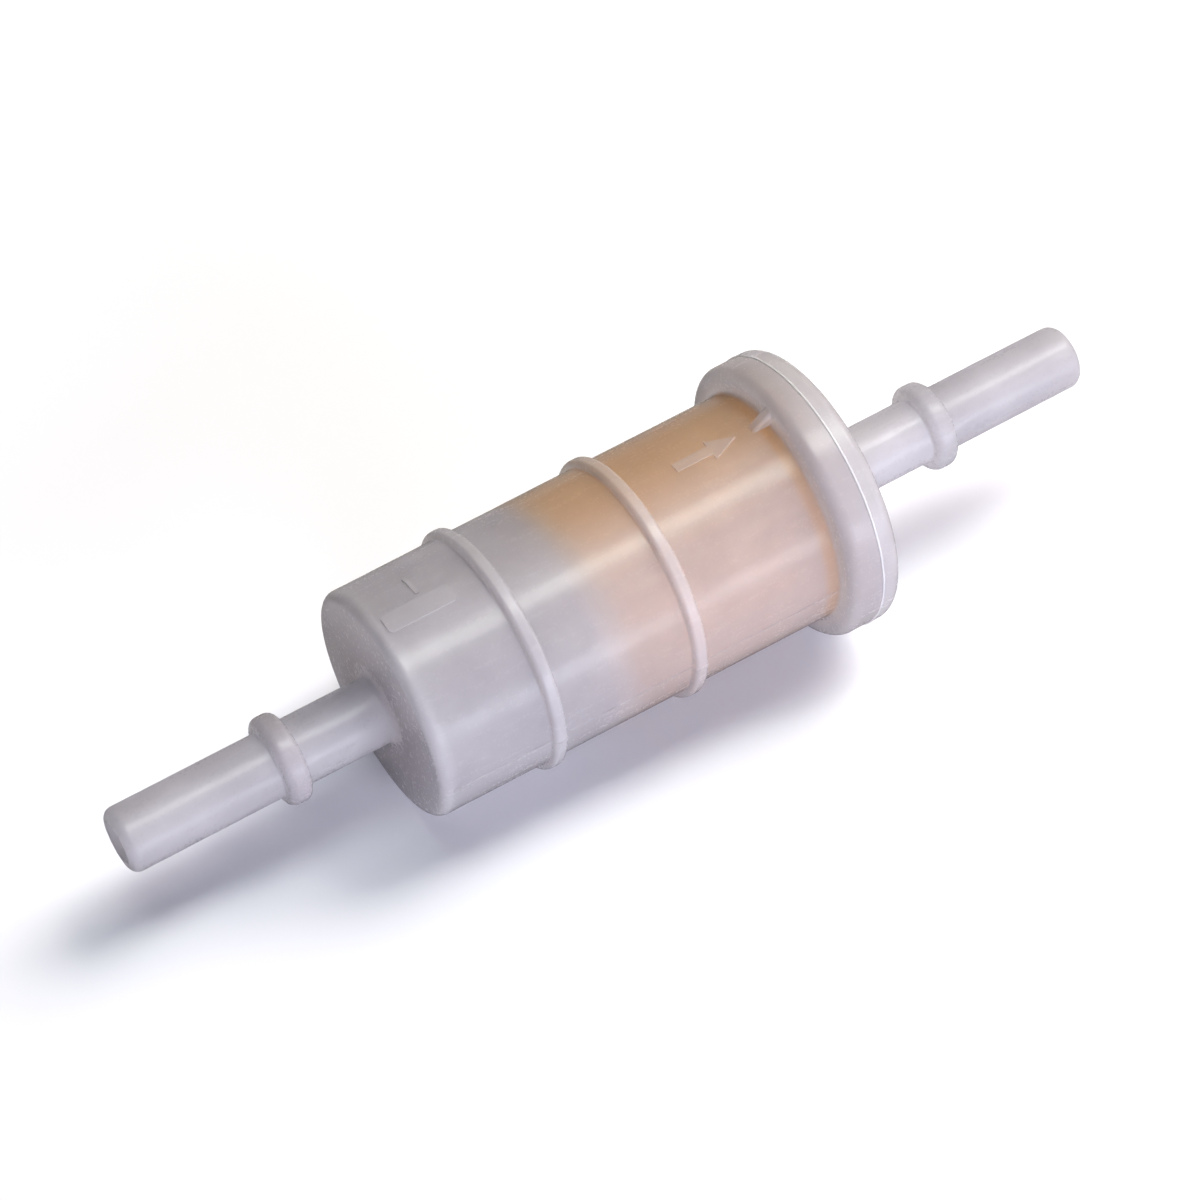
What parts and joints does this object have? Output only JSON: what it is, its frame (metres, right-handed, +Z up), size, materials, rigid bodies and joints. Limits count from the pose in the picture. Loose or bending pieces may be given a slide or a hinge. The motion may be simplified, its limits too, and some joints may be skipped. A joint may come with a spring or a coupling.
{
  "type": "in-line fuel filter",
  "caption": "In-line fuel filter: translucent welded nylon cup and cap with a quick-connect stem at each end, around a pleated paper element on a perforated tube.",
  "frame": {"origin": "on the filter's axis, half way between the two stem tips", "axes": "+X along the flow, from the inlet stem to the outlet stem; +Z up, on the side of the raised flow arrow and the gusset; the mould's parting line lies in the XY plane"},
  "size_m": [0.129, 0.0352, 0.0352],
  "materials": {
    "housing_nylon": "satin, translucent natural nylon",
    "weld_nylon": "satin, translucent natural nylon, a little whiter where it melted",
    "filter_paper": "matte, resin-treated cellulose paper",
    "tinplate": "satin tinplate",
    "core_plastic": "matte, natural nylon",
    "end_plate_plastic": "matte, tan",
    "potting_adhesive": "satin, cured adhesive",
    "seal_rubber": "matte, black fuel-proof rubber"
  },
  "bodies": {
    "root": {"housing_cup": "housing_nylon", "housing_cap": "housing_nylon", "flange_weld": "weld_nylon", "filter_paper": "filter_paper", "seam_clip": "tinplate", "support_core": "core_plastic", "closed_end_plate": "end_plate_plastic", "open_end_plate": "end_plate_plastic", "closed_end_adhesive": "potting_adhesive", "open_end_adhesive": "potting_adhesive", "outlet_seal": "seal_rubber"}
  },
  "joints": []
}
